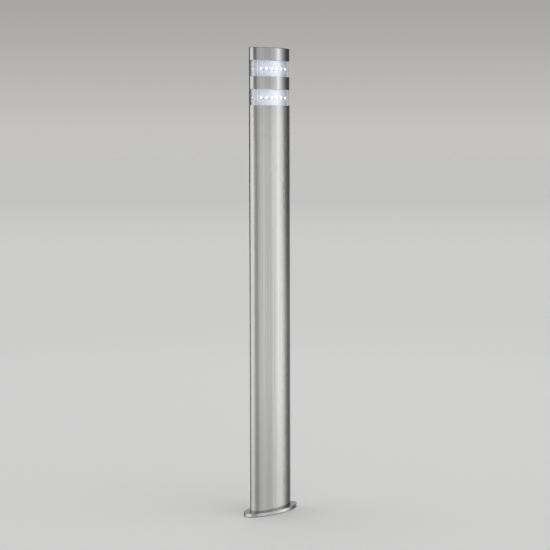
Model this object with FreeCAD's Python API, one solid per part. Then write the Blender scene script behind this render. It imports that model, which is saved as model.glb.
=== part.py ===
"""Bollard light: an oval brushed-steel post on an oval base plate, with a head of two clear
windows, a steel band between them and a steel cap. Millimetres, +Z up, origin at the middle
of the underside, the oval's long axis along X and its front facing -Y. The post slips over
a collar on the base plate, which carries the electrical gear, and two screws lock it."""

import FreeCAD, Part
import math
import os

Vector = FreeCAD.Vector

# ---- driving dimensions -----------------------------------------------------------------
HEIGHT = 900.0          # underside to top of cap
POST_A = 56.8           # half length of the post's oval section, along X
POST_B = 20.0           # half width of that section, along Y
POST_WALL = 1.5
PLATE_A = 73.0          # half length of the oval base plate
PLATE_B = 29.0          # half width of the base plate
PLATE_T = 6.5
PLATE_EDGE = 0.6        # rounding on the plate's edges
GASKET_T = 1.0          # rubber mat under the plate
GASKET_INSET = 2.0

CAP_H = 24.0
WINDOW_H = 31.0
BAND_H = 24.0
TRIM_INSET = 0.4        # cap and band stand this far inside the post's outline
TRIM_WALL = 1.2
CAP_TOP_T = 2.5
CAP_EDGE = 1.2
LENS_WALL = 3.0
LENS_EDGE = 0.3
SEAL_T = 1.0
SPACER_WALL = 4.2       # stiff ring inside a trim shell

OVER = 1.0              # how far a cutter runs past the face it cuts
TOUCHING = 0.001        # two levels closer than this are one level

# ---- levels, worked out from those ------------------------------------------------------
PLATE_TOP_Z = GASKET_T + PLATE_T
CAP_Z = HEIGHT - CAP_H
UPPER_LENS_Z = CAP_Z - WINDOW_H
BAND_Z = UPPER_LENS_Z - BAND_H
POST_TOP_Z = BAND_Z - WINDOW_H
CAP_UNDER_Z = HEIGHT - CAP_TOP_T
LED_ROWS_Z = {"lower": POST_TOP_Z + WINDOW_H / 2, "upper": UPPER_LENS_Z + WINDOW_H / 2}
BORE_A = POST_A - POST_WALL
BORE_B = POST_B - POST_WALL

# ---- collar that the post slips over, and its locking screws ------------------------------
COLLAR_GAP = 0.4
COLLAR_WALL = 3.0
COLLAR_H = 40.0
COLLAR_A = BORE_A - COLLAR_GAP
COLLAR_B = BORE_B - COLLAR_GAP
LOCK_X = 30.0
LOCK_Z = PLATE_TOP_Z + 17.5
LOCK_R = 2.4
LOCK_HOLE_R = 2.5
LOCK_SLOT_R = 2.9
LOCK_HEAD_R = 4.6
LOCK_HEAD_H = 2.7
LOCK_HEAD_GAP = 0.3     # between the head and the post's wall
LOCK_REACH = 9.0        # shank below the head
LOCK_KEY = 3.0          # flats of the hexagon socket

# ---- plug that closes the post's top -----------------------------------------------------
PLUG_SEAT = 1.5         # the plug's top lies this far below the post's rim
PLUG_H = 20.5
PLUG_PLATE_T = 4.0
PLUG_WALL = 2.5
PLUG_GROMMET_R = 3.7
PLUG_GROMMET_LIP_R = 6.1
PLUG_GROMMET_LIP_T = 1.2
PLUG_TOP_Z = POST_TOP_Z - PLUG_SEAT
PLUG_UNDER_Z = PLUG_TOP_Z - PLUG_PLATE_T

# ---- rods that clamp the head together ---------------------------------------------------
ROD_X = 45.0
ROD_R = 3.0
ROD_STUD_R = 2.5
ROD_STUD_END = 7.5      # thread that stands out below the plug's plate
ROD_GAP = 0.5           # sealing washer between rod and cap
CAP_SCREW_R = 2.0
CAP_SCREW_HEAD_R = 4.0
CAP_SCREW_HEAD_H = 2.2
CAP_SCREW_LEN = 12.0
CAP_SCREW_KEY = 2.5
TAPPED_EXTRA = 2.0      # the rod's tapped hole goes this much deeper than the screw

# ---- LED core ----------------------------------------------------------------------------
CORE_X = 40.0           # half length of the core
CORE_Y = 8.2            # half thickness of the core at its middle
CORE_FACE_R = 256.0     # radius of its two broad faces
CORE_CORNER = 3.5
CORE_BORE_A = 32.0      # half axes of the oval bore for the wires
CORE_BORE_B = 4.7
BOARD_T = 1.0
BOARD_H = 9.0
LED_PITCH = 14.0
LEDS_PER_FACE = 6
LED_SIZE = 5.0
LED_T = 0.8
LED_FACE_R = 1.9
LED_FACE_T = 0.15

# ---- anchors and cable entry ---------------------------------------------------------------
ANCHOR_X = 36.0
ANCHOR_SLOT_W = 9.0
ANCHOR_SLOT_L = 14.0
ENTRY_R = 8.0           # hole in the base plate
ENTRY_LIP_R = 10.0
ENTRY_LIP_T = 1.2
ENTRY_LOWER_T = 0.7      # lower lip, thinner than the mat so that it clears the ground
CABLE_R = 4.5           # bore of the grommet

# ---- gear bracket and what it carries ------------------------------------------------------
GEAR_T = 2.0
GEAR_HALF_W = 20.0
GEAR_Y = 11.0           # front face of the upright
GEAR_TOP_Z = 250.0
TAB_IN_X = 11.0         # the foot tabs leave room for the grommet
TAB_FRONT_Y = -6.0
STUD_X = 15.5
STUD_R = 2.0
STUD_HEAD_R = 3.2
STUD_HEAD_H = 1.2
STUD_TOP_Z = PLATE_TOP_Z + 10.0
M3_R = 1.5
M3_HEAD_R = 2.6
M4_FLATS = 7.0
M4_NUT_H = 3.2
M4_WASHER_R = 4.4
M4_WASHER_T = 0.8
M5_FLATS = 8.0
M5_NUT_H = 4.0
M5_WASHER_R = 5.0
M5_WASHER_T = 1.0

TERMINAL_W = 30.0
TERMINAL_D = 16.0
TERMINAL_H = 22.0
TERMINAL_Z = 66.0
POLE_PITCH = 10.0
POLE_R = 2.2
CLAMP_SCREW_R = 2.0
CLAMP_SCREW_L = 5.0
CLAMP_SUNK = 0.8
CLAMP_ROW_Z = 6.0       # clamp screws sit this far from the middle of the block
TERMINAL_FIX_X = 5.0
SLOT_HALF_W = 0.4       # screwdriver slots
SLOT_DEPTH = 1.0

EARTH_X = 13.0
EARTH_Z = 46.0
EARTH_TAIL_L = 11.0
EARTH_TAIL_HALF_W = 2.0

DRIVER_W = 32.0
DRIVER_D = 22.0
DRIVER_Z0 = 116.0
DRIVER_Z1 = 226.0
DRIVER_EDGE = 3.0
EAR_L = 11.0
EAR_T = 3.0

LEAD_R = 2.5
WIRE_R = 0.9
DRIVER_WIRE_PITCH = 6.0 # between live and neutral where they enter the driver
BOARD_WIRE_R = 0.45
BOARD_WIRE_GAP = 0.2     # between a wire's ends and what they are soldered to

# ---- two-part connector between the driver and the head -------------------------------------
JOIN_Z0 = 262.0         # bottom of the lower half
JOIN_Z = 284.0          # where the two halves meet
JOIN_Z1 = 306.0         # top of the upper half
JOIN_R = 7.5
JOIN_EDGE = 1.5
NOSE_R = 4.5
NOSE_L = 8.0
NOSE_GAP = 0.3
NUT_R = 9.5
NUT_HALF_H = 8.0
NUT_RIBS = 12
NUT_RIB_R = 0.8


# ---- helpers -------------------------------------------------------------------------------
def oval(a, b, z, height):
    """An oval prism from z up, with half axes a along X and b along Y."""
    curve = Part.Ellipse(Vector(0, 0, z), a, b)
    face = Part.Face(Part.Wire([curve.toShape()]))
    return face.extrude(Vector(0, 0, height))


def oval_ring(a, b, wall, z, height):
    """An oval tube of the given wall, with outer half axes a and b."""
    inner = oval(a - wall, b - wall, z - OVER, height + 2 * OVER)
    return oval(a, b, z, height).cut(inner)


def rod(radius, x, y, z0, z1):
    """An upright cylinder between two levels."""
    return Part.makeCylinder(radius, z1 - z0, Vector(x, y, z0), Vector(0, 0, 1))


def rod_y(radius, x, z, y0, y1):
    """A cylinder along Y between two depths."""
    return Part.makeCylinder(radius, y1 - y0, Vector(x, y0, z), Vector(0, 1, 0))


def box(x0, x1, y0, y1, z0, z1):
    return Part.makeBox(x1 - x0, y1 - y0, z1 - z0, Vector(x0, y0, z0))


def hexagon(flats, height, base, axis=Vector(0, 0, 1)):
    """A hexagonal prism, flats across, that stands on base and points along axis."""
    corner = flats / math.sqrt(3)
    turn = FreeCAD.Rotation(Vector(0, 0, 1), axis)
    corners = []
    for i in range(7):
        angle = math.radians(60 * i)
        flat_point = Vector(corner * math.cos(angle), corner * math.sin(angle), 0)
        corners.append(base + turn.multVec(flat_point))
    face = Part.Face(Part.makePolygon(corners))
    return face.extrude(axis * height)


def edges_at(shape, z):
    """The edges that lie wholly at the level z."""
    box_of = [(e, e.BoundBox) for e in shape.Edges]
    return [e for e, b in box_of if abs(b.ZMin - z) < TOUCHING and abs(b.ZMax - z) < TOUCHING]


def outline_edges(shape, z, reach):
    """The edges at level z that reach out to the given X, which is the outer outline."""
    return [e for e in edges_at(shape, z) if e.BoundBox.XMax > reach - TOUCHING]


def both_sides(make):
    """The solids that make(sign) gives on the left and on the right."""
    return [make(-1), make(1)]


def tube_along(points, radius, bend):
    """A round wire through points, with its corners rounded to the radius bend."""
    edges = []
    start = points[0]
    for before, corner, after in zip(points, points[1:], points[2:]):
        into = (corner - before).normalize()
        out = (after - corner).normalize()
        turn = into.getAngle(out)
        cut = bend * math.tan(turn / 2)
        arc_start = corner - into * cut
        arc_end = corner + out * cut
        toward = (out - into).normalize()
        centre = corner + toward * (bend / math.cos(turn / 2))
        middle = centre - toward * bend
        edges.append(Part.LineSegment(start, arc_start).toShape())
        edges.append(Part.Arc(arc_start, middle, arc_end).toShape())
        start = arc_end
    edges.append(Part.LineSegment(start, points[-1]).toShape())
    path = Part.Wire(edges)
    along = (points[1] - points[0]).normalize()
    profile = Part.Wire([Part.Circle(points[0], along, radius).toShape()])
    return path.makePipeShell([profile], True, False)


# ---- base and locking screws -----------------------------------------------------------------
def anchor_slot(x):
    """The cutter for one anchor slot in the plate and the mat under it."""
    half = ANCHOR_SLOT_W / 2
    reach = ANCHOR_SLOT_L / 2 - half
    low, top = -OVER, PLATE_TOP_Z + OVER
    slot = box(x - reach, x + reach, -half, half, low, top)
    return slot.fuse([rod(half, x - reach, 0, low, top), rod(half, x + reach, 0, low, top)])


def base_plate():
    plate = oval(PLATE_A, PLATE_B, GASKET_T, PLATE_T)
    rims = outline_edges(plate, PLATE_TOP_Z, PLATE_A) + outline_edges(plate, GASKET_T, PLATE_A)
    plate = plate.makeFillet(PLATE_EDGE, rims)
    for sign in (-1, 1):
        plate = plate.cut(anchor_slot(sign * ANCHOR_X))
        plate = plate.cut(bracket_stud(sign))
    return plate.cut(rod(ENTRY_R, 0, 0, 0, PLATE_TOP_Z + OVER))


def base_gasket():
    sheet = oval(PLATE_A - GASKET_INSET, PLATE_B - GASKET_INSET, 0, GASKET_T)
    for sign in (-1, 1):
        sheet = sheet.cut(anchor_slot(sign * ANCHOR_X))
    return sheet.cut(rod(ENTRY_LIP_R, 0, 0, -OVER, GASKET_T + OVER))


def cable_grommet():
    lower_lip = rod(ENTRY_LIP_R, 0, 0, GASKET_T - ENTRY_LOWER_T, GASKET_T)
    neck = rod(ENTRY_R, 0, 0, GASKET_T, PLATE_TOP_Z)
    upper_lip = rod(ENTRY_LIP_R, 0, 0, PLATE_TOP_Z, PLATE_TOP_Z + ENTRY_LIP_T)
    bore = rod(CABLE_R, 0, 0, -OVER, PLATE_TOP_Z + ENTRY_LIP_T + OVER)
    return lower_lip.fuse([neck, upper_lip]).cut(bore)


def lock_point(sign):
    """Where a locking screw's axis leaves the back of the post, and the way out from there."""
    x = sign * LOCK_X
    y = POST_B * math.sqrt(1 - (x / POST_A) ** 2)
    outward = Vector(x / POST_A**2, y / POST_B**2, 0).normalize()
    return Vector(x, y, LOCK_Z), outward


def rod_out(radius, sign, start, end):
    """A cylinder along a locking screw's axis, between two distances from the post's wall."""
    point, outward = lock_point(sign)
    return Part.makeCylinder(radius, end - start, point + outward * start, outward)


def post_collar():
    collar = oval_ring(COLLAR_A, COLLAR_B, COLLAR_WALL, PLATE_TOP_Z, COLLAR_H)
    for sign in (-1, 1):
        collar = collar.cut(rod_out(LOCK_HOLE_R, sign, -LOCK_REACH, LOCK_REACH))
    return collar


def lock_screw(sign):
    shank_end = LOCK_HEAD_GAP - LOCK_REACH
    head = rod_out(LOCK_HEAD_R, sign, LOCK_HEAD_GAP, LOCK_HEAD_GAP + LOCK_HEAD_H)
    point, outward = lock_point(sign)
    top = LOCK_HEAD_GAP + LOCK_HEAD_H
    crown = [e for e in head.Edges if abs(lift_of(e, point, outward) - top) < TOUCHING]
    head = head.makeFillet(LOCK_HEAD_H / 2, crown)
    shank = rod_out(LOCK_R, sign, shank_end, LOCK_HEAD_GAP)
    key = hexagon(LOCK_KEY, LOCK_HEAD_H, point + outward * (top - LOCK_HEAD_H / 2), outward)
    return head.fuse(shank).cut(key)


def lift_of(edge, point, outward):
    """How far out along the axis an edge's middle lies."""
    return (edge.CenterOfMass - point).dot(outward)


def lock_slot(sign):
    """The cutter for the slot, open at the bottom, that lets the post lift off its screw."""
    point, outward = lock_point(sign)
    low = PLATE_TOP_Z - LOCK_Z - OVER
    across = outward.cross(Vector(0, 0, 1)) * LOCK_SLOT_R
    bottom = point + Vector(0, 0, low) - outward * LOCK_REACH
    up = Vector(0, 0, -low)
    corners = [bottom - across, bottom + across, bottom + across + up, bottom - across + up]
    face = Part.Face(Part.makePolygon(corners + corners[:1]))
    slot = face.extrude(outward * 2 * LOCK_REACH)
    return slot.fuse(rod_out(LOCK_SLOT_R, sign, -LOCK_REACH, LOCK_REACH))


def post_tube():
    tube = oval_ring(POST_A, POST_B, POST_WALL, PLATE_TOP_Z, POST_TOP_Z - PLATE_TOP_Z)
    for sign in (-1, 1):
        tube = tube.cut(lock_slot(sign))
    return tube


def countersunk(x, top_z, shank_r, head_r, head_h, z0):
    """The solid of a countersunk screw from z0 up to a flush head at top_z."""
    head_z = top_z - head_h
    cone = Part.makeCone(shank_r, head_r, head_h, Vector(x, 0, head_z), Vector(0, 0, 1))
    return rod(shank_r, x, 0, z0, head_z).fuse(cone)


# ---- gear inside the post ----------------------------------------------------------------------
def gear_bracket():
    back_y = GEAR_Y + GEAR_T
    through_y = back_y + OVER
    upright = box(-GEAR_HALF_W, GEAR_HALF_W, GEAR_Y, back_y, PLATE_TOP_Z, GEAR_TOP_Z)
    tabs = []
    for sign in (-1, 1):
        x0, x1 = sorted((sign * TAB_IN_X, sign * GEAR_HALF_W))
        tab = box(x0, x1, TAB_FRONT_Y, GEAR_Y, PLATE_TOP_Z, PLATE_TOP_Z + GEAR_T)
        tabs.append(tab.cut(rod(STUD_R, sign * STUD_X, 0, 0, STUD_TOP_Z)))
    bracket = upright.fuse(tabs)
    for sign in (-1, 1):
        fix_x = sign * TERMINAL_FIX_X
        bracket = bracket.cut(rod_y(M3_R, fix_x, terminal_middle(), 0, through_y))
    bracket = bracket.cut(rod_y(STUD_R, EARTH_X, EARTH_Z, 0, through_y))
    for z in driver_fixings():
        bracket = bracket.cut(rod_y(STUD_R, 0, z, 0, through_y))
    return bracket.removeSplitter()


def bracket_stud(sign):
    """A stud pressed into the base plate from below, with its head sunk in the plate."""
    head = rod(STUD_HEAD_R, sign * STUD_X, 0, GASKET_T, GASKET_T + STUD_HEAD_H)
    shank = rod(STUD_R, sign * STUD_X, 0, GASKET_T, STUD_TOP_Z)
    return head.fuse(shank).removeSplitter()


def bracket_studs():
    return both_sides(bracket_stud)


def bracket_washers():
    base = PLATE_TOP_Z + GEAR_T

    def one(sign):
        disc = rod(M4_WASHER_R, sign * STUD_X, 0, base, base + M4_WASHER_T)
        return disc.cut(rod(STUD_R, sign * STUD_X, 0, 0, STUD_TOP_Z))

    return both_sides(one)


def bracket_nuts():
    base = PLATE_TOP_Z + GEAR_T + M4_WASHER_T

    def one(sign):
        nut = hexagon(M4_FLATS, M4_NUT_H, Vector(sign * STUD_X, 0, base))
        return nut.cut(rod(STUD_R, sign * STUD_X, 0, 0, STUD_TOP_Z + OVER))

    return both_sides(one)


def terminal_middle():
    return TERMINAL_Z + TERMINAL_H / 2


def pole_positions():
    return [-POLE_PITCH, 0, POLE_PITCH]


def terminal_block():
    half = TERMINAL_W / 2
    front = GEAR_Y - TERMINAL_D
    block = box(-half, half, front, GEAR_Y, TERMINAL_Z, TERMINAL_Z + TERMINAL_H)
    for x in pole_positions():
        wire_way = rod(POLE_R, x, wire_way_y(), TERMINAL_Z - OVER, TERMINAL_Z + TERMINAL_H + OVER)
        block = block.cut(wire_way)
        for z in (terminal_middle() - CLAMP_ROW_Z, terminal_middle() + CLAMP_ROW_Z):
            block = block.cut(rod_y(CLAMP_SCREW_R, x, z, front - OVER, wire_way_y()))
    for sign in (-1, 1):
        x = sign * TERMINAL_FIX_X
        block = block.cut(rod_y(M3_R, x, terminal_middle(), front - OVER, GEAR_Y + OVER))
        block = block.cut(rod_y(M3_HEAD_R, x, terminal_middle(), front - OVER, front + M3_HEAD_R))
    return block


def driver_slot(x, z, head_y):
    """The cutter for the screwdriver slot of a screw whose head faces the front."""
    reach = 2 * M3_HEAD_R
    z0, z1 = z - SLOT_HALF_W, z + SLOT_HALF_W
    return box(x - reach, x + reach, head_y - OVER, head_y + SLOT_DEPTH, z0, z1)


def terminal_clamp_screws():
    front = GEAR_Y - TERMINAL_D
    screws = []
    for x in pole_positions():
        for z in (terminal_middle() - CLAMP_ROW_Z, terminal_middle() + CLAMP_ROW_Z):
            head_y = front + CLAMP_SUNK
            screw = rod_y(CLAMP_SCREW_R, x, z, head_y, head_y + CLAMP_SCREW_L)
            screws.append(screw.cut(driver_slot(x, z, head_y)))
    return screws


def terminal_fixing_screws():
    front = GEAR_Y - TERMINAL_D

    def one(sign):
        x = sign * TERMINAL_FIX_X
        head_y = front + M3_HEAD_R / 3
        head = rod_y(M3_HEAD_R, x, terminal_middle(), head_y, front + M3_HEAD_R)
        shank = rod_y(M3_R, x, terminal_middle(), front + M3_HEAD_R, GEAR_Y + GEAR_T)
        return head.fuse(shank).cut(driver_slot(x, terminal_middle(), head_y))

    return both_sides(one)


def earth_stud():
    return rod_y(STUD_R, EARTH_X, EARTH_Z, 0, GEAR_Y + GEAR_T)


def earth_tag():
    """The ring terminal on the earth wire, flat against the bracket."""
    ring = rod_y(M4_WASHER_R, EARTH_X, EARTH_Z, GEAR_Y - M4_WASHER_T, GEAR_Y)
    top = EARTH_Z + EARTH_TAIL_L
    x0, x1 = EARTH_X - EARTH_TAIL_HALF_W, EARTH_X + EARTH_TAIL_HALF_W
    tail = box(x0, x1, GEAR_Y - M4_WASHER_T, GEAR_Y, EARTH_Z, top)
    return ring.fuse(tail).cut(rod_y(STUD_R, EARTH_X, EARTH_Z, 0, GEAR_Y + OVER))


def earth_nut():
    face = GEAR_Y - M4_WASHER_T
    nut = hexagon(M4_FLATS, M4_NUT_H, Vector(EARTH_X, face, EARTH_Z), Vector(0, -1, 0))
    return nut.cut(rod_y(STUD_R, EARTH_X, EARTH_Z, 0, GEAR_Y))


def driver_fixings():
    """Levels of the two screws through the driver's ears."""
    return [DRIVER_Z0 - EAR_L / 2, DRIVER_Z1 + EAR_L / 2]


def led_driver():
    half_w = DRIVER_W / 2
    case = box(-half_w, half_w, GEAR_Y - DRIVER_D, GEAR_Y, DRIVER_Z0, DRIVER_Z1)
    upright = [e for e in case.Edges if e.BoundBox.ZLength > DRIVER_W and e.BoundBox.YMax < 0]
    case = case.makeFillet(DRIVER_EDGE, upright)
    ear_y = GEAR_Y - EAR_T
    ears = box(-half_w / 2, half_w / 2, ear_y, GEAR_Y, DRIVER_Z0 - EAR_L, DRIVER_Z1 + EAR_L)
    driver = case.fuse(ears)
    for z in driver_fixings():
        driver = driver.cut(rod_y(STUD_R, 0, z, 0, GEAR_Y + OVER))
    return driver.removeSplitter()


def driver_screws():
    screws = []
    face = GEAR_Y - EAR_T
    for z in driver_fixings():
        head = rod_y(M4_FLATS / 2, 0, z, face - STUD_R, face)
        shank = rod_y(STUD_R, 0, z, face, GEAR_Y + GEAR_T)
        screws.append(head.fuse(shank).cut(driver_slot(0, z, face - STUD_R)))
    return screws


def wire_way_y():
    """Depth of the wire ways through the terminal block."""
    return GEAR_Y - TERMINAL_D / 2


def driver_input_wires():
    """Live and neutral, from the terminal block up to the driver."""
    top = TERMINAL_Z + TERMINAL_H
    deep = wire_way_y()
    wires = []
    for x in (-POLE_PITCH, 0):
        at_driver = x / POLE_PITCH * DRIVER_WIRE_PITCH - POLE_R
        start = Vector(x, deep, top - CLAMP_ROW_Z)
        rise = Vector(x, deep, top + CLAMP_ROW_Z)
        lean = Vector(at_driver, deep - POLE_R, DRIVER_Z0 - EAR_L)
        end = Vector(at_driver, deep - POLE_R, DRIVER_Z0)
        wires.append(tube_along([start, rise, lean, end], WIRE_R, 6 * WIRE_R))
    return wires


def earth_wire():
    """From the earth pole of the terminal block down to the tag on the bracket."""
    low = TERMINAL_Z + CLAMP_ROW_Z
    deep = wire_way_y()
    tag_top = EARTH_Z + EARTH_TAIL_L
    tag_y = GEAR_Y - M4_WASHER_T - WIRE_R
    start = Vector(POLE_PITCH, deep, low)
    down = Vector(POLE_PITCH, deep, low - 2 * CLAMP_ROW_Z)
    lean = Vector(EARTH_X, tag_y, tag_top)
    end = Vector(EARTH_X, tag_y, tag_top - CLAMP_ROW_Z)
    return tube_along([start, down, lean, end], WIRE_R, 3 * WIRE_R)


def driver_output_lead():
    return rod(LEAD_R, 0, 0, DRIVER_Z1, JOIN_Z0)


def lower_connector():
    """The half on the driver's lead, with a nose that plugs into the upper half."""
    body = rod(JOIN_R, 0, 0, JOIN_Z0, JOIN_Z)
    body = body.makeChamfer(JOIN_EDGE, edges_at(body, JOIN_Z0))
    return body.fuse(rod(NOSE_R, 0, 0, JOIN_Z, JOIN_Z + NOSE_L)).removeSplitter()


def upper_connector():
    body = rod(JOIN_R, 0, 0, JOIN_Z + NOSE_GAP, JOIN_Z1)
    body = body.makeChamfer(JOIN_EDGE, edges_at(body, JOIN_Z1))
    return body.cut(rod(NOSE_R + NOSE_GAP, 0, 0, JOIN_Z, JOIN_Z + NOSE_L + NOSE_GAP))


def connector_nut():
    """The ribbed nut on the upper half, which reaches down round the lower one."""
    low, high = JOIN_Z - NUT_HALF_H, JOIN_Z + NUT_HALF_H
    ring = rod(NUT_R, 0, 0, low, high)
    for i in range(NUT_RIBS):
        angle = 2 * math.pi * i / NUT_RIBS
        groove_x, groove_y = NUT_R * math.cos(angle), NUT_R * math.sin(angle)
        ring = ring.cut(rod(NUT_RIB_R, groove_x, groove_y, low - OVER, high + OVER))
    ring = ring.cut(rod(JOIN_R, 0, 0, low - OVER, high + OVER))
    return ring.cut(rod(JOIN_R + NOSE_GAP, 0, 0, low - OVER, JOIN_Z + NOSE_GAP))


def head_lead():
    """The lead from the connector up to the core, inside the post."""
    return rod(LEAD_R, 0, 0, JOIN_Z1, PLUG_TOP_Z + LEAD_R)


# ---- head ------------------------------------------------------------------------------------
def head_plug():
    plug = oval(BORE_A, BORE_B, PLUG_TOP_Z - PLUG_H, PLUG_H)
    hollow = oval(BORE_A - PLUG_WALL, BORE_B - PLUG_WALL, 0, PLUG_UNDER_Z)
    plug = plug.cut(hollow)
    for sign in (-1, 1):
        plug = plug.cut(rod(ROD_STUD_R, sign * ROD_X, 0, 0, HEIGHT))
    return plug.cut(rod(PLUG_GROMMET_R, 0, 0, 0, HEIGHT))


def plug_grommet():
    neck = rod(PLUG_GROMMET_R, 0, 0, PLUG_UNDER_Z, PLUG_TOP_Z)
    lip = rod(PLUG_GROMMET_LIP_R, 0, 0, PLUG_UNDER_Z - PLUG_GROMMET_LIP_T, PLUG_UNDER_Z)
    return neck.fuse(lip).cut(rod(LEAD_R, 0, 0, 0, HEIGHT))


def rod_washers():
    def one(sign):
        disc = rod(M5_WASHER_R, sign * ROD_X, 0, PLUG_UNDER_Z - M5_WASHER_T, PLUG_UNDER_Z)
        return disc.cut(rod(ROD_STUD_R, sign * ROD_X, 0, 0, HEIGHT))

    return both_sides(one)


def rod_nuts():
    def one(sign):
        low_z = PLUG_UNDER_Z - M5_WASHER_T - M5_NUT_H
        nut = hexagon(M5_FLATS, M5_NUT_H, Vector(sign * ROD_X, 0, low_z))
        return nut.cut(rod(ROD_STUD_R, sign * ROD_X, 0, 0, HEIGHT))

    return both_sides(one)


def cap_screw(sign):
    z0 = HEIGHT - CAP_SCREW_LEN
    return countersunk(
        sign * ROD_X, HEIGHT, CAP_SCREW_R, CAP_SCREW_HEAD_R, CAP_SCREW_HEAD_H, z0
    )


def tie_rods():
    def one(sign):
        x = sign * ROD_X
        bar = rod(ROD_R, x, 0, PLUG_TOP_Z, CAP_UNDER_Z - ROD_GAP)
        stud = rod(ROD_STUD_R, x, 0, PLUG_UNDER_Z - ROD_STUD_END, PLUG_TOP_Z)
        return bar.fuse(stud).cut(rod(CAP_SCREW_R, x, 0, HEIGHT - CAP_SCREW_LEN - TAPPED_EXTRA, HEIGHT))

    return both_sides(one)


def cap_screw_seals():
    def one(sign):
        x = sign * ROD_X
        disc = rod(ROD_R, x, 0, CAP_UNDER_Z - ROD_GAP, CAP_UNDER_Z)
        return disc.cut(rod(CAP_SCREW_R, x, 0, 0, HEIGHT))

    return both_sides(one)


def cap_screws():
    def one(sign):
        bottom = Vector(sign * ROD_X, 0, HEIGHT - CAP_SCREW_R)
        return cap_screw(sign).cut(hexagon(CAP_SCREW_KEY, CAP_SCREW_LEN, bottom))

    return both_sides(one)


def lens(z):
    """One clear oval sleeve, with its sharp edges just broken."""
    sleeve = oval_ring(POST_A, POST_B, LENS_WALL, z, WINDOW_H)
    rims = outline_edges(sleeve, z, POST_A) + outline_edges(sleeve, z + WINDOW_H, POST_A)
    return sleeve.makeFillet(LENS_EDGE, rims)


def trim_ring(z, height):
    return oval_ring(POST_A - TRIM_INSET, POST_B - TRIM_INSET, TRIM_WALL, z, height)


def seal_ring(z):
    """A flat rubber ring that fits inside the trim's wall."""
    inset = TRIM_INSET + TRIM_WALL
    return oval_ring(POST_A - inset, POST_B - inset, LENS_WALL, z, SEAL_T)


def spacer_ring(z, height):
    """The stiff ring inside a trim shell, which passes the clamping load between seals."""
    inset = TRIM_INSET + TRIM_WALL
    return oval_ring(POST_A - inset, POST_B - inset, SPACER_WALL, z, height)


def post_seal():
    return oval_ring(BORE_A, BORE_B, LENS_WALL, PLUG_TOP_Z, PLUG_SEAT)


def top_cap():
    a, b = POST_A - TRIM_INSET, POST_B - TRIM_INSET
    cap = oval(a, b, CAP_Z, CAP_H)
    cap = cap.makeFillet(CAP_EDGE, outline_edges(cap, HEIGHT, a))
    cap = cap.cut(oval(a - TRIM_WALL, b - TRIM_WALL, 0, CAP_UNDER_Z))
    for sign in (-1, 1):
        cap = cap.cut(cap_screw(sign))
    return cap


# ---- LED core and boards ------------------------------------------------------------------------
def core_prism(grow, z, height):
    """A prism of the core's section, grown outwards by grow: two shallow arcs and round corners."""
    half_x = CORE_X + grow
    radius = CORE_FACE_R + grow
    middle_y = CORE_Y + grow
    end_y = middle_y - (radius - math.sqrt(radius**2 - half_x**2))
    front = Part.Arc(Vector(-half_x, -end_y, z), Vector(0, -middle_y, z), Vector(half_x, -end_y, z))
    back = Part.Arc(Vector(half_x, end_y, z), Vector(0, middle_y, z), Vector(-half_x, end_y, z))
    right = Part.LineSegment(Vector(half_x, -end_y, z), Vector(half_x, end_y, z))
    left = Part.LineSegment(Vector(-half_x, end_y, z), Vector(-half_x, -end_y, z))
    wire = Part.Wire([e.toShape() for e in (front, right, back, left)])
    prism = Part.Face(wire).extrude(Vector(0, 0, height))
    corner = [
        e for e in prism.Edges
        if e.BoundBox.ZLength > height / 2 and e.BoundBox.XLength + e.BoundBox.YLength < TOUCHING
    ]
    return prism.makeFillet(CORE_CORNER + grow, corner)


def core_band(thickness, z, height):
    """A band wrapped once round the core."""
    return core_prism(thickness, z, height).cut(core_prism(0, z - OVER, height + 2 * OVER))


def wire_hole(z):
    """The hole in the core's back wall that lets a board's wires out."""
    return rod_y(2 * WIRE_R, 0, z, 0, CORE_Y)


def led_core():
    height = CAP_UNDER_Z - PLUG_TOP_Z
    core = core_prism(0, PLUG_TOP_Z, height)
    core = core.cut(oval(CORE_BORE_A, CORE_BORE_B, 0, HEIGHT))
    for z in LED_ROWS_Z.values():
        core = core.cut(wire_hole(z))
    return core


def reflector(row):
    """The white sleeve round the core, in two rings, above and below a board."""
    middle = LED_ROWS_Z[row]
    half_window = WINDOW_H / 2
    height = half_window - BOARD_H / 2
    return [
        core_band(BOARD_T, middle - half_window, height),
        core_band(BOARD_T, middle + BOARD_H / 2, height),
    ]


def led_board(row):
    return core_band(BOARD_T, LED_ROWS_Z[row] - BOARD_H / 2, BOARD_H)


def face_places():
    """For each LED, the turn about Z and the side that put it square on its broad face."""
    radius = CORE_FACE_R + BOARD_T
    places = []
    for i in range(LEDS_PER_FACE):
        x = (i - (LEDS_PER_FACE - 1) / 2) * LED_PITCH
        angle = math.degrees(math.asin(x / radius))
        places += [(angle, 0), (angle, 180)]
    return places


def on_face(shape, angle, side):
    """Moves a shape from the middle of the front face to its place on either face."""
    centre_y = CORE_FACE_R - CORE_Y
    moved = shape.copy()
    moved.rotate(Vector(0, centre_y, 0), Vector(0, 0, 1), angle)
    moved.rotate(Vector(0, 0, 0), Vector(0, 0, 1), side)
    return moved


def led_packages(row):
    """The white LED bodies of one row, with a round recess for the lit face."""
    z = LED_ROWS_Z[row]
    half = LED_SIZE / 2
    back = -(CORE_Y + BOARD_T)
    body = box(-half, half, back - LED_T, back, z - half, z + half)
    body = body.cut(rod_y(LED_FACE_R, 0, z, back - LED_T - OVER, back - LED_T + 2 * LED_FACE_T))
    return [on_face(body, angle, side) for angle, side in face_places()]


def led_faces(row):
    """The lit faces that sit in the LED bodies."""
    z = LED_ROWS_Z[row]
    front = -(CORE_Y + BOARD_T + LED_T)
    face = rod_y(LED_FACE_R, 0, z, front + LED_FACE_T, front + 2 * LED_FACE_T)
    return [on_face(face, angle, side) for angle, side in face_places()]


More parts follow.
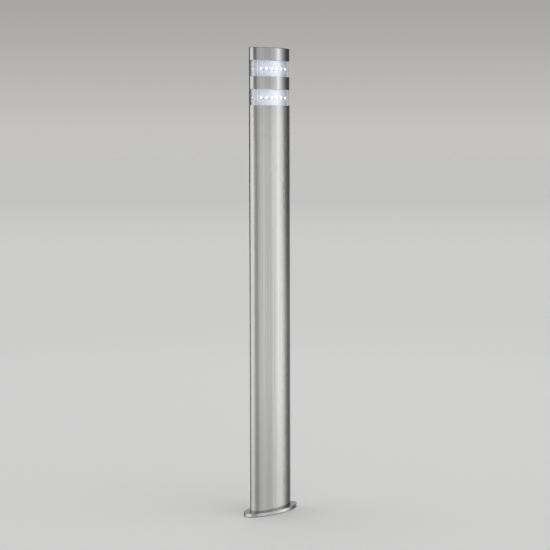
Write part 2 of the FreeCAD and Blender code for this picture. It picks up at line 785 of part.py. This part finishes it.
def board_wires():
    """Two thin wires to each board, up inside the core and out through its back wall."""
    wires = []
    for spread, z in zip((LEAD_R / 3, 2 * LEAD_R / 3), LED_ROWS_Z.values()):
        for sign in (-1, 1):
            x = sign * 2 * BOARD_WIRE_R
            depth = CORE_BORE_B / 3
            foot = Vector(sign * spread, 0, PLUG_TOP_Z + LEAD_R + BOARD_WIRE_GAP)
            knee = Vector(x, depth, z - BOARD_H)
            turn = Vector(x, depth, z)
            end = Vector(x, CORE_Y - BOARD_WIRE_GAP, z)
            wires.append(tube_along([foot, knee, turn, end], BOARD_WIRE_R, 4 * BOARD_WIRE_R))
    return wires


# ---- writing the parts --------------------------------------------------------------------------
NODES = {
    "base_gasket": base_gasket,
    "base_plate": base_plate,
    "post_collar": post_collar,
    "cable_grommet": cable_grommet,
    "bracket_studs": bracket_studs,
    "gear_bracket": gear_bracket,
    "bracket_washers": bracket_washers,
    "bracket_nuts": bracket_nuts,
    "terminal_block": terminal_block,
    "terminal_clamp_screws": terminal_clamp_screws,
    "terminal_fixing_screws": terminal_fixing_screws,
    "earth_stud": earth_stud,
    "earth_tag": earth_tag,
    "earth_nut": earth_nut,
    "earth_wire": earth_wire,
    "led_driver": led_driver,
    "driver_screws": driver_screws,
    "driver_input_wires": driver_input_wires,
    "driver_output_lead": driver_output_lead,
    "lower_connector": lower_connector,
    "left_lock_screw": lambda: lock_screw(-1),
    "right_lock_screw": lambda: lock_screw(1),
    "post_tube": post_tube,
    "upper_connector": upper_connector,
    "connector_nut": connector_nut,
    "head_lead": head_lead,
    "head_plug": head_plug,
    "plug_grommet": plug_grommet,
    "tie_rods": tie_rods,
    "rod_washers": rod_washers,
    "rod_nuts": rod_nuts,
    "post_seal": post_seal,
    "lower_lens": lambda: lens(POST_TOP_Z),
    "band_lower_seal": lambda: seal_ring(BAND_Z),
    "band_spacer": lambda: spacer_ring(BAND_Z + SEAL_T, BAND_H - 2 * SEAL_T),
    "middle_band": lambda: trim_ring(BAND_Z, BAND_H),
    "band_upper_seal": lambda: seal_ring(UPPER_LENS_Z - SEAL_T),
    "upper_lens": lambda: lens(UPPER_LENS_Z),
    "cap_seal": lambda: seal_ring(CAP_Z),
    "cap_spacer": lambda: spacer_ring(CAP_Z + SEAL_T, CAP_UNDER_Z - CAP_Z - SEAL_T),
    "top_cap": top_cap,
    "cap_screws": cap_screws,
    "cap_screw_seals": cap_screw_seals,
    "led_core": led_core,
    "lower_reflector": lambda: reflector("lower"),
    "upper_reflector": lambda: reflector("upper"),
    "lower_led_board": lambda: led_board("lower"),
    "upper_led_board": lambda: led_board("upper"),
    "lower_led_packages": lambda: led_packages("lower"),
    "upper_led_packages": lambda: led_packages("upper"),
    "lower_led_faces": lambda: led_faces("lower"),
    "upper_led_faces": lambda: led_faces("upper"),
    "board_wires": board_wires,
}


def main():
    os.makedirs("parts", exist_ok=True)
    for name, make in NODES.items():
        made = make()
        shape = Part.makeCompound(made) if isinstance(made, list) else made
        if not shape.isValid():
            raise ValueError(name + " is not valid")
        shape.exportStep("parts/" + name + ".step")
        print(name, len(shape.Solids), "solids", round(shape.Volume / 1000, 3), "cm3")


main()
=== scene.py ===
"""Looks for the bollard light: finishes for every CAD node, finer meshes where the light shows
them, a pale floor, soft studio light and a camera at standing height to the left of the front.
Everything is in metres, in the CAD frame: +Z up, the front facing -Y."""

import math

import bmesh
import bpy
from mathutils import Matrix, Quaternion, Vector

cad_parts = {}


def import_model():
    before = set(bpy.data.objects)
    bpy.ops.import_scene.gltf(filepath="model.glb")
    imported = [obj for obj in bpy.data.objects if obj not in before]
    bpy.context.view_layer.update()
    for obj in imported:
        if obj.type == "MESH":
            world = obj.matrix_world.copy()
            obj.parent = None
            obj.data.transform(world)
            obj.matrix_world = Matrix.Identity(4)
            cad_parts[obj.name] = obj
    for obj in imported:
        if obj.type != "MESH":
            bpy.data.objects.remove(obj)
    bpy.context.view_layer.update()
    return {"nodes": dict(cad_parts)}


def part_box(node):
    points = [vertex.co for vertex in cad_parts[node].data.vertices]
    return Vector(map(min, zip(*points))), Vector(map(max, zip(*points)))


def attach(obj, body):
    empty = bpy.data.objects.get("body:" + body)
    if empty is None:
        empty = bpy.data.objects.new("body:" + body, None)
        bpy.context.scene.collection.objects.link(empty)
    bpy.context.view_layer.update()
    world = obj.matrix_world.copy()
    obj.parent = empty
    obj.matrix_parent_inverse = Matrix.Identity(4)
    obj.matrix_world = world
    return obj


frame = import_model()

NODES = frame["nodes"]

# ---- where the camera stands ---------------------------------------------------------------
VIEW_AZIMUTH = math.radians(-50)
TO_CAMERA = Vector((math.sin(VIEW_AZIMUTH), -math.cos(VIEW_AZIMUTH), 0))
TO_RIGHT = Vector((math.cos(VIEW_AZIMUTH), math.sin(VIEW_AZIMUTH), 0))
CAMERA_DISTANCE = 3.280
CAMERA_HEIGHT = 0.728
CAMERA_ASIDE = 0.0094
CAMERA_TILT = math.radians(4.607)
CAMERA_ROLL = math.radians(-0.109)
LENS = 111.2
SENSOR = 36.0

# ---- sizes that the finishes and the fine meshes share -------------------------------------
LED_PITCH = 0.014
LEDS_PER_FACE = 6
LED_HALF = 0.0025           # half the width of one LED body
FACE_RADIUS = 0.257         # radius of the LED boards' two broad faces
COLLAR_WALL = 0.003
BRACKET_STUD_R = 0.002
TIE_ROD_STUD_R = 0.0025
WIRE_PARTING = 0.0051       # the driver's two wires part this far left of the middle


# ---- shader helpers -------------------------------------------------------------------------
class Finish:
    """A material under construction: its node tree, with short calls for the nodes used here."""

    def __init__(self, name, **settings):
        self.material = bpy.data.materials.new(name)
        self.material.use_nodes = True
        self.tree = self.material.node_tree
        self.shader = self.tree.nodes["Principled BSDF"]
        self.point = self.node("ShaderNodeTexCoord").outputs["Object"]
        for socket, value in settings.items():
            self.shader.inputs[socket.replace("_", " ")].default_value = value

    def node(self, kind, **attributes):
        made = self.tree.nodes.new(kind)
        for key, value in attributes.items():
            setattr(made, key, value)
        return made

    def link(self, output, target):
        if isinstance(target, str):
            target = self.shader.inputs[target]
        self.tree.links.new(output, target)

    def scaled_point(self, scale):
        mapping = self.node("ShaderNodeMapping")
        mapping.inputs["Scale"].default_value = scale
        self.link(self.point, mapping.inputs["Vector"])
        return mapping.outputs["Vector"]

    def noise(self, scale, detail=3.0, roughness=0.5):
        texture = self.node("ShaderNodeTexNoise")
        texture.inputs["Scale"].default_value = 1.0
        texture.inputs["Detail"].default_value = detail
        texture.inputs["Roughness"].default_value = roughness
        self.link(self.scaled_point(scale), texture.inputs["Vector"])
        return texture.outputs["Fac"]

    def math(self, operation, first, second):
        made = self.node("ShaderNodeMath", operation=operation)
        for value, socket in zip((first, second), made.inputs):
            if isinstance(value, float):
                socket.default_value = value
            else:
                self.link(value, socket)
        return made.outputs["Value"]

    def spread(self, value, low, high, start=0.3, end=0.7):
        """Maps a value from start..end to low..high."""
        change = self.node("ShaderNodeMapRange")
        change.inputs["From Min"].default_value = start
        change.inputs["From Max"].default_value = end
        change.inputs["To Min"].default_value = low
        change.inputs["To Max"].default_value = high
        self.link(value, change.inputs["Value"])
        return change.outputs["Result"]

    def colours(self, value, dark, light):
        ramp = self.node("ShaderNodeValToRGB")
        ramp.color_ramp.elements[0].position = 0.3
        ramp.color_ramp.elements[1].position = 0.7
        ramp.color_ramp.elements[0].color = (*dark, 1)
        ramp.color_ramp.elements[1].color = (*light, 1)
        self.link(value, ramp.inputs["Fac"])
        return ramp.outputs["Color"]

    def bump(self, height, distance, strength=1.0, under=None):
        made = self.node("ShaderNodeBump")
        made.inputs["Distance"].default_value = distance
        made.inputs["Strength"].default_value = strength
        self.link(height, made.inputs["Height"])
        if under:
            self.link(under, made.inputs["Normal"])
        return made.outputs["Normal"]


def speckled(name, dark, light, grain, roughness, metallic=0.0, bump=0.00003, **settings):
    """A moulded, cast or plated finish: slight colour variation, uneven gloss and a fine grain."""
    finish = Finish(name, Metallic=metallic, **settings)
    patches = finish.noise((grain / 12,) * 3, 4.0)
    fine = finish.noise((grain,) * 3, 2.0)
    finish.link(finish.colours(patches, dark, light), "Base Color")
    finish.link(finish.spread(fine, roughness * 0.85, roughness * 1.15), "Roughness")
    finish.link(finish.bump(fine, bump), "Normal")
    return finish.material


def brushed_steel(name, tint, roughness=0.17, anisotropy=0.5):
    """Stainless steel with a straight grain along Z, which stretches highlights round the post."""
    finish = Finish(name, Metallic=1.0, Anisotropic=anisotropy)
    hairs = finish.noise((900, 900, 5), 3.0)
    streaks = finish.noise((170, 170, 0.7), 3.0)
    broad = finish.noise((45, 45, 0.25), 2.0)
    light = [c * 1.08 for c in tint]
    dark = [c * 0.86 for c in tint]
    weighed = finish.math("MULTIPLY", streaks, 0.55), finish.math("MULTIPLY", hairs, 0.45)
    grain = finish.math("ADD", *weighed)
    finish.link(finish.colours(grain, dark, light), "Base Color")
    finish.link(finish.spread(hairs, roughness * 0.75, roughness * 1.3), "Roughness")
    waves = finish.bump(broad, 0.00014)
    lines = finish.bump(streaks, 0.00002, under=waves)
    finish.link(finish.bump(hairs, 0.000006, under=lines), "Normal")
    tangent = finish.node("ShaderNodeTangent", direction_type="RADIAL", axis="Z")
    finish.link(tangent.outputs["Tangent"], "Tangent")
    return finish.material


def twin_wires(name, left, right):
    """Insulation of two colours, one on the left wire of each pair and one on the right: the pair
    at the driver parts left of the middle, and the pairs in the head at the middle."""
    finish = Finish(name, Roughness=0.35)
    place = finish.node("ShaderNodeSeparateXYZ")
    finish.link(finish.point, place.inputs["Vector"])
    parting = finish.spread(place.outputs["Z"], WIRE_PARTING, 0.0, 0.3, 0.4)
    across = finish.math("ADD", place.outputs["X"], parting)
    side = finish.spread(across, 0.0, 1.0, -0.00001, 0.00001)
    finish.link(finish.colours(side, left, right), "Base Color")
    fine = finish.noise((1500,) * 3, 2.0)
    finish.link(finish.spread(fine, 0.3, 0.45), "Roughness")
    finish.link(finish.bump(fine, 0.00002), "Normal")
    return finish.material


def striped_wire(name, ground, stripe):
    """Earth insulation, banded in two colours."""
    finish = Finish(name, Roughness=0.35)
    bands = finish.node("ShaderNodeTexWave", wave_type="BANDS", bands_direction="DIAGONAL")
    bands.inputs["Scale"].default_value = 130.0
    finish.link(finish.point, bands.inputs["Vector"])
    finish.link(finish.colours(bands.outputs["Fac"], ground, stripe), "Base Color")
    finish.link(finish.bump(finish.noise((1500,) * 3, 2.0), 0.00002), "Normal")
    return finish.material


def plate_steel(name):
    """The base plate: a rim polished bright, and a satin top face whose colour is darker as painted shade.
    """
    finish = Finish(name, Metallic=1.0)
    height = finish.node("ShaderNodeSeparateXYZ")
    finish.link(finish.point, height.inputs["Vector"])
    plate_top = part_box("base_plate")[1][2]
    # Painted shade: the top face's colour is darker than the rim's.
    shaded_top = finish.spread(height.outputs["Z"], 0.0, 1.0, plate_top - 0.0006, plate_top - 0.0001)
    finish.link(finish.colours(shaded_top, (0.72, 0.72, 0.72), (0.36, 0.36, 0.365)), "Base Color")
    finish.link(finish.spread(shaded_top, 0.16, 0.3, 0.0, 1.0), "Roughness")
    finish.link(finish.bump(finish.noise((900,) * 3, 2.0), 0.000004), "Normal")
    return finish.material


def clear_acrylic(name):
    finish = Finish(
        name, Base_Color=(0.97, 0.985, 1.0, 1), Transmission_Weight=1.0, IOR=1.49, Roughness=0.015
    )
    smears = finish.noise((60, 60, 20), 4.0)
    finish.link(finish.spread(smears, 0.01, 0.05), "Roughness")
    return finish.material


def lit_white(name, dark, light, glow, near_glow, spots, metallic, roughness):
    """A white surface beside the LEDs with painted light: a cool glow standing in for the LEDs' light on it,
    stronger near their rows and at each LED.
    """
    finish = Finish(
        name, Roughness=roughness, Metallic=metallic, Emission_Color=(0.80, 0.87, 1.0, 1)
    )
    fine = finish.noise((1200,) * 3, 2.0)
    finish.link(finish.colours(fine, dark, light), "Base Color")
    place = finish.node("ShaderNodeSeparateXYZ")
    finish.link(finish.point, place.inputs["Vector"])
    low_row, high_row = (middle_z(board) for board in ("lower_led_board", "upper_led_board"))
    # Painted light: emission that stands in for the LEDs' light falling on this surface, with a painted spot
    # at each LED.
    above = finish.math("SUBTRACT", place.outputs["Z"], low_row)
    off_row = finish.math("PINGPONG", above, (high_row - low_row) / 2)
    glowing = finish.spread(off_row, near_glow, glow, 0.0015, 0.011)
    near_row = finish.spread(off_row, 1.0, 0.0, 0.0004, 0.0028)
    near_led = finish.math("PINGPONG", place.outputs["X"], LED_PITCH / 2)
    spot = finish.math("MULTIPLY", near_row, finish.spread(near_led, 0.0, spots, 0.003, 0.006))
    finish.link(finish.math("ADD", glowing, spot), "Emission Strength")
    finish.link(finish.bump(fine, 0.00002), "Normal")
    return finish.material


def middle_z(node):
    low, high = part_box(node)
    return (low[2] + high[2]) / 2


def lit_face(name):
    finish = Finish(
        name, Base_Color=(0.9, 0.93, 1.0, 1), Roughness=0.4,
        Emission_Color=(0.80, 0.88, 1.0, 1), Emission_Strength=4.4,
    )
    fine = finish.noise((2500,) * 3, 1.0)
    finish.link(finish.colours(fine, (0.85, 0.88, 0.95), (0.95, 0.97, 1.0)), "Base Color")
    return finish.material


STEEL = (0.64, 0.635, 0.63)

FINISHES = {
    "black_rubber": speckled("rubber", (0.02, 0.02, 0.021), (0.035, 0.035, 0.036), 1500, 0.7),
    "polished_plate": plate_steel("plate"),
    "zinc_plated_steel": speckled("zinc", (0.55, 0.56, 0.6), (0.7, 0.71, 0.74), 1200, 0.3, 1.0),
    "galvanised_sheet": speckled("galvanised", (0.42, 0.44, 0.46), (0.62, 0.64, 0.66), 700, 0.42, 1.0),
    "terminal_plastic": speckled("nylon", (0.7, 0.7, 0.67), (0.8, 0.8, 0.77), 1800, 0.4),
    "terminal_brass": speckled("brass", (0.7, 0.5, 0.24), (0.82, 0.62, 0.32), 1500, 0.28, 1.0),
    "earth_wire_insulation": striped_wire("earth_wire", (0.05, 0.32, 0.06), (0.72, 0.66, 0.05)),
    "driver_case": speckled("driver_case", (0.78, 0.79, 0.8), (0.86, 0.87, 0.88), 1600, 0.42),
    "wire_insulation": twin_wires("wire", (0.2, 0.08, 0.03), (0.03, 0.09, 0.4)),
    "lead_sheath": speckled("sheath", (0.02, 0.02, 0.02), (0.035, 0.035, 0.035), 1500, 0.5),
    "connector_plastic": speckled("connector", (0.03, 0.03, 0.033), (0.05, 0.05, 0.055), 1800, 0.45),
    "stainless_fastener": speckled("fastener", (0.6, 0.6, 0.6), (0.72, 0.72, 0.72), 1500, 0.25, 1.0),
    "brushed_post": brushed_steel("post_steel", STEEL),
    "brushed_trim": brushed_steel("trim_steel", STEEL, 0.13),
    "cast_aluminium": speckled("cast", (0.5, 0.51, 0.52), (0.62, 0.63, 0.64), 1100, 0.5, 1.0),
    "bright_steel_rod": speckled(
        "rod", (0.82, 0.82, 0.84), (0.9, 0.9, 0.92), 1500, 0.06, 1.0,
    ),
    "clear_acrylic": clear_acrylic("acrylic"),
    "clear_seal": speckled("silicone", (0.6, 0.61, 0.63), (0.72, 0.73, 0.76), 900, 0.4),
    "anodised_core": speckled("core", (0.74, 0.75, 0.78), (0.8, 0.81, 0.84), 900, 0.4, 0.9),
    "white_reflector": lit_white(
        "reflector", (0.82, 0.83, 0.88), (0.88, 0.89, 0.93), 0.2, 0.28, 0.0, 0.7, 0.2
    ),
    "white_board": lit_white(
        "board", (0.84, 0.85, 0.89), (0.9, 0.91, 0.94), 0.22, 0.28, 0.4, 0.65, 0.2
    ),
    "led_package": speckled(
        "led_body", (0.85, 0.86, 0.88), (0.92, 0.93, 0.95), 2000, 0.4,
        Emission_Color=(0.80, 0.87, 1.0, 1), Emission_Strength=0.45,
    ),
    "led_light": lit_face("led_face"),
}

for node in NODES.values():
    for place in node.material_slots:
        place.material = FINISHES[place.material.name]


# ---- fine meshes -----------------------------------------------------------------------------
LED_PLACES = [(i - (LEDS_PER_FACE - 1) / 2) * LED_PITCH for i in range(LEDS_PER_FACE)]


def piece(name, body, slot, build, smooth_angle=35):
    """A mesh that build fills, finished as the slot's material and riding on the body."""
    shape = bmesh.new()
    build(shape)
    bmesh.ops.recalc_face_normals(shape, faces=shape.faces)
    mesh = bpy.data.meshes.new(name)
    shape.to_mesh(mesh)
    shape.free()
    mesh.shade_smooth()
    mesh.set_sharp_from_angle(angle=math.radians(smooth_angle))
    mesh.materials.append(FINISHES[slot])
    made = bpy.data.objects.new(name, mesh)
    bpy.context.scene.collection.objects.link(made)
    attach(made, body)
    return made


def add_block(shape, size, bevel, place):
    """A block with rounded edges, its middle at the origin of the matrix place."""
    corners = bmesh.ops.create_cube(shape, size=1, matrix=place @ Matrix.Diagonal((*size, 1)))["verts"]
    edges = {edge for corner in corners for edge in corner.link_edges}
    bmesh.ops.bevel(shape, geom=list(edges), offset=bevel, segments=2, affect="EDGES", profile=0.6)


def add_sleeve(shape, rings):
    """Joins rings of points, each (points...) of one length, into a closed skin with flat ends."""
    loops = [[shape.verts.new(point) for point in ring] for ring in rings]
    count = len(loops[0])
    for near, far in zip(loops, loops[1:]):
        for i in range(count):
            j = (i + 1) % count
            shape.faces.new((near[i], near[j], far[j], far[i]))
    shape.faces.new(loops[0])
    shape.faces.new(loops[-1])


def on_board(x, side, off, z):
    """The place on a board's face at x, that far off its surface; side is 0 in front, 180 behind."""
    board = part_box("lower_led_board")
    centre_y = FACE_RADIUS - board[1][1]
    about = Matrix.Translation((0, centre_y, 0))
    turned = about @ Matrix.Rotation(math.asin(x / FACE_RADIUS), 4, "Z") @ about.inverted()
    local = Matrix.Translation((0, -board[1][1] - off, z))
    return Matrix.Rotation(math.radians(side), 4, "Z") @ turned @ local


def board_details(row):
    """Solder beside every LED, and a small resistor between each two."""
    z = middle_z(row + "_led_board")

    def solder(shape):
        for side in (0, 180):
            for x in LED_PLACES:
                for edge in (-1, 1):
                    place = on_board(x + edge * (LED_HALF + 0.0004), side, 0.0001, z)
                    add_block(shape, (0.0009, 0.0003, 0.0034), 0.0001, place)

    def resistors(shape):
        for side in (0, 180):
            for x, beyond in zip(LED_PLACES, LED_PLACES[1:]):
                place = on_board((x + beyond) / 2, side, 0.0003, z - 0.0028)
                add_block(shape, (0.0020, 0.0007, 0.0011), 0.00012, place)

    piece(row + "_board_solder", "post", "stainless_fastener", solder)
    piece(row + "_board_resistors", "post", "connector_plastic", resistors)


def weld_stitches(shape):
    """Five rippled welds in the corner between the collar's inside and the base plate."""
    low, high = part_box("post_collar")
    a, b = high[0] - COLLAR_WALL, high[1] - COLLAR_WALL
    steps, around, radius = 36, 10, 0.0015
    for middle in (0, 180, 235, 270, 305):
        half_turn = 9 if middle in (235, 270, 305) else 24
        rings = []
        for i in range(steps + 1):
            share = i / steps
            angle = math.radians(middle + half_turn * (2 * share - 1))
            centre = Vector((a * math.cos(angle), b * math.sin(angle), low[2]))
            inward = Vector((-math.cos(angle) / a, -math.sin(angle) / b, 0)).normalized()
            taper = math.sqrt(max(0.06, 1 - (2 * share - 1) ** 4))
            ripple = 1 + 0.1 * math.cos(2 * math.pi * i / 3)
            size = radius * taper * ripple
            ring = []
            for j in range(around):
                turn = 2 * math.pi * j / around
                rise = Vector((0, 0, size * math.sin(turn)))
                ring.append(centre + inward * size * math.cos(turn) + rise)
            rings.append([Vector((p.x, p.y, max(p.z, low[2]))) for p in ring])
        add_sleeve(shape, rings)


def driver_ribs(shape):
    """Upright cooling ribs on the driver's front."""
    low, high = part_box("led_driver")
    count, pitch, proud, margin = 7, 0.0036, 0.0008, 0.022
    size = (0.0014, 2 * proud, high[2] - low[2] - 2 * margin)
    for i in range(count):
        x = (i - (count - 1) / 2) * pitch
        place = Matrix.Translation((x, low[1], (low[2] + high[2]) / 2))
        add_block(shape, size, 0.0003, place)


def terminal_barriers(shape):
    """Ribs between the terminal block's poles, and one at each end."""
    low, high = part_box("terminal_block")
    poles, proud = 3, 0.0008
    for i in range(poles + 1):
        x = low[0] + 0.0006 + (high[0] - low[0] - 0.0012) * i / poles
        place = Matrix.Translation((x, low[1], (low[2] + high[2]) / 2))
        add_block(shape, (0.0011, 2 * proud, high[2] - low[2] - 0.0016), 0.0003, place)


def add_thread(shape, x, radius, bottom, top, pitch=0.0007, depth=0.00012):
    """Thread crests on an upright shank, as a row of ridges."""
    around = 28
    count = int((top - bottom) / pitch)
    rings = []
    for i in range(2 * count + 1):
        size = radius + (depth if i % 2 else 0.00001)
        z = bottom + i * pitch / 2
        turns = [2 * math.pi * j / around for j in range(around)]
        rings.append([Vector((x + size * math.cos(t), size * math.sin(t), z)) for t in turns])
    add_sleeve(shape, rings)


def threads(studs, nuts, above, radius):
    """Builds the thread on both studs, from the nuts' far face to the studs' ends."""
    low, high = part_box(studs)
    nut_low, nut_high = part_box(nuts)
    x = nut_high[0] - nut_half(nuts)
    bottom, top = (nut_high[2], high[2]) if above else (low[2], nut_low[2])

    def build(shape):
        for side in (-1, 1):
            add_thread(shape, side * x, radius, bottom + 0.0001, top - 0.0002)

    return build


def nut_half(nuts):
    """Half a nut's reach along X: the nuts' boxes are as deep in Y as across two flats."""
    low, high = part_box(nuts)
    return (high[1] - low[1]) / math.sqrt(3)


for level in ("lower", "upper"):
    board_details(level)
bracket_threads = threads("bracket_studs", "bracket_nuts", True, BRACKET_STUD_R)
rod_threads = threads("tie_rods", "rod_nuts", False, TIE_ROD_STUD_R)
piece("collar_welds", "base", "zinc_plated_steel", weld_stitches, 60)
piece("driver_ribs", "base", "driver_case", driver_ribs)
piece("terminal_barriers", "base", "terminal_plastic", terminal_barriers)
piece("bracket_stud_threads", "base", "stainless_fastener", bracket_threads)
piece("tie_rod_threads", "post", "bright_steel_rod", rod_threads)


# ---- studio ----------------------------------------------------------------------------------
def towards(degrees):
    """The level direction at that angle to the right of the camera, seen from the post."""
    angle = math.radians(degrees)
    return TO_CAMERA * math.cos(angle) + TO_RIGHT * math.sin(angle)


def mesh_object(name, vertices, faces, smooth=False):
    mesh = bpy.data.meshes.new(name)
    mesh.from_pydata(vertices, [], faces)
    mesh.update()
    for polygon in mesh.polygons:
        polygon.use_smooth = smooth
    made = bpy.data.objects.new(name, mesh)
    bpy.context.scene.collection.objects.link(made)
    return made


RING_RADIUS = 2.5
RING_LOW, RING_HIGH = -1.2, 4.0
# Brightness of the light ring at each direction, in degrees to the right of the camera.
LOW_RING = (
    (-180, 0.65), (-150, 0.5), (-141, 0.2), (-106, 0.16), (-96, 0.72), (-80, 0.85), (-60, 0.95), (-12, 1.05),
    (4, 0.66), (20, 0.42), (31, 0.42), (42, 0.6), (60, 0.86), (70, 0.78), (84, 0.74), (94, 0.98),
    (104, 1.34), (110, 1.2), (114, 0.75), (121, 0.3), (129, 0.16), (143, 0.14), (151, 0.6), (180, 0.65),
)
MIDDLE_RING = (
    (-180, 0.65), (-171, 0.6), (-163, 0.06), (-107, 0.05), (-95, 0.7), (-80, 0.9),
    (-12, 1.1), (4, 0.72), (20, 0.36), (31, 0.31), (42, 0.54), (60, 0.84), (70, 0.74), (84, 0.76),
    (93, 1.0), (102, 1.36), (107, 1.15), (111, 0.7), (117, 0.24), (126, 0.08), (143, 0.06), (151, 0.6),
    (172, 0.65), (180, 0.65),
)
HIGH_RING = (
    (-180, 0.65), (-171, 0.6), (-163, 0.04), (-114, 0.03), (-102, 0.6), (-80, 0.9),
    (-60, 0.98), (-14, 0.88), (0, 0.28), (14, 0.12), (24, 0.17), (36, 0.46), (58, 0.64), (70, 0.52),
    (86, 0.56), (95, 0.64), (99, 1.25), (103, 1.45), (107, 0.78), (111, 0.4), (118, 0.15), (126, 0.06),
    (143, 0.04), (151, 0.6), (172, 0.65), (180, 0.65),
)


def set_stops(ramp, stops):
    """Gives a colour ramp these stops, each a position and a colour, in rising order."""
    places = ramp.color_ramp.elements
    while len(places) < len(stops):
        places.new(0.5)
    for place, (position, colour) in zip(places, stops):
        place.position = position
        place.color = (*colour, 1)


def ring_brightness(finish, stops, turned):
    """A ramp of brightness round the ring, through the given stops."""
    ramp = finish.node("ShaderNodeValToRGB")
    set_stops(ramp, [(0.5 + degrees / 360, (level,) * 3) for degrees, level in stops])
    finish.link(turned, ramp.inputs["Fac"])
    return ramp.outputs["Color"]


def light_ring():
    """A tall ring of soft light round the post, which only reflections see."""
    steps = 96
    vertices = []
    for i in range(steps):
        direction = towards(360 * i / steps) * RING_RADIUS
        vertices += [direction + Vector((0, 0, RING_LOW)), direction + Vector((0, 0, RING_HIGH))]
    faces = []
    for i in range(steps):
        near, far = 2 * i, 2 * ((i + 1) % steps)
        faces.append((near, far, far + 1, near + 1))
    ring = mesh_object("light_ring", vertices, faces)

    finish = Finish("light_ring", Roughness=1.0, Specular_IOR_Level=0.0, Base_Color=(0, 0, 0, 1))
    aim = finish.node("ShaderNodeVectorRotate", rotation_type="Z_AXIS")
    aim.inputs["Angle"].default_value = -math.atan2(TO_CAMERA.y, TO_CAMERA.x)
    finish.link(finish.point, aim.inputs["Vector"])
    circle = finish.node("ShaderNodeTexGradient", gradient_type="RADIAL")
    finish.link(aim.outputs["Vector"], circle.inputs["Vector"])
    height = finish.node("ShaderNodeSeparateXYZ")
    finish.link(finish.point, height.inputs["Vector"])
    colour = ring_brightness(finish, LOW_RING, circle.outputs["Fac"])
    for stops, start, end in ((MIDDLE_RING, 0.1, 0.6), (HIGH_RING, 0.72, 1.0)):
        blend = finish.node("ShaderNodeMix", data_type="RGBA")
        finish.link(finish.spread(height.outputs["Z"], 0.0, 1.0, start, end), blend.inputs["Factor"])
        finish.link(colour, blend.inputs[6])
        finish.link(ring_brightness(finish, stops, circle.outputs["Fac"]), blend.inputs[7])
        colour = blend.outputs[2]
    finish.link(colour, "Emission Color")
    low_fade = finish.spread(height.outputs["Z"], 0.8, 1.0, -0.5, -0.1)
    high_fade = finish.spread(height.outputs["Z"], 1.0, 0.6, 1.25, 1.6)
    finish.link(finish.math("MULTIPLY", low_fade, high_fade), "Emission Strength")
    ring.data.materials.append(finish.material)
    for seen_by in ("camera", "diffuse", "shadow", "volume_scatter"):
        setattr(ring, "visible_" + seen_by, False)


def soft_sun():
    """Even light from all over the ceiling."""
    light = bpy.data.lights.new("ceiling", "SUN")
    light.energy = 1.55
    light.angle = math.radians(100)
    lamp = bpy.data.objects.new("ceiling", light)
    lamp.location = (0, 0, 3)
    lamp.visible_glossy = False
    bpy.context.scene.collection.objects.link(lamp)


def floor_finish():
    """A plain pale floor with painted shade: its colour darkens slightly far from the light."""
    finish = Finish("floor", Roughness=0.8)
    away = finish.node("ShaderNodeVectorMath", operation="LENGTH")
    finish.link(finish.point, away.inputs[0])
    # Painted shade: the floor's colour is darker far from the middle.
    far = finish.spread(away.outputs["Value"], 0.0, 1.0, 2.0, 22.0)
    finish.link(finish.colours(far, (0.84,) * 3, (0.755,) * 3), "Base Color")
    return finish.material


def floor():
    reach = 60.0
    corners = [(-reach, -reach, 0), (reach, -reach, 0), (reach, reach, 0), (-reach, reach, 0)]
    plane = mesh_object("floor", corners, [(0, 1, 2, 3)])
    plane.data.materials.append(floor_finish())
    plane.visible_glossy = False


SKY = ((0.0, 0.56), (0.06, 0.42), (0.11, 0.33), (0.35, 0.25), (1.0, 0.27))


def world():
    """A backdrop that is palest where it meets the floor and darker overhead."""
    studio = bpy.data.worlds.new("studio")
    studio.use_nodes = True
    tree = studio.node_tree
    background = tree.nodes["Background"]
    direction = tree.nodes.new("ShaderNodeTexCoord").outputs["Generated"]
    height = tree.nodes.new("ShaderNodeSeparateXYZ")
    ramp = tree.nodes.new("ShaderNodeValToRGB")
    set_stops(ramp, [(rise, (level, level * 0.99, level * 0.975)) for rise, level in SKY])
    tree.links.new(direction, height.inputs["Vector"])
    tree.links.new(height.outputs["Z"], ramp.inputs["Fac"])
    tree.links.new(ramp.outputs["Color"], background.inputs["Color"])
    background.inputs["Strength"].default_value = 1.0
    bpy.context.scene.world = studio
    bpy.context.scene.view_settings.view_transform = "Standard"


def camera():
    data = bpy.data.cameras.new("camera")
    data.lens = LENS
    data.sensor_width = SENSOR
    seat = bpy.data.objects.new("camera", data)
    seat.location = TO_CAMERA * CAMERA_DISTANCE + TO_RIGHT * CAMERA_ASIDE + Vector((0, 0, CAMERA_HEIGHT))
    seat.rotation_mode = "QUATERNION"
    backwards = TO_CAMERA * math.cos(CAMERA_TILT) + Vector((0, 0, math.sin(CAMERA_TILT)))
    roll = Quaternion(backwards, CAMERA_ROLL)
    seat.rotation_quaternion = roll @ backwards.to_track_quat("Z", "Y")
    bpy.context.scene.collection.objects.link(seat)
    bpy.context.scene.camera = seat


light_ring()
soft_sun()
floor()
world()
camera()
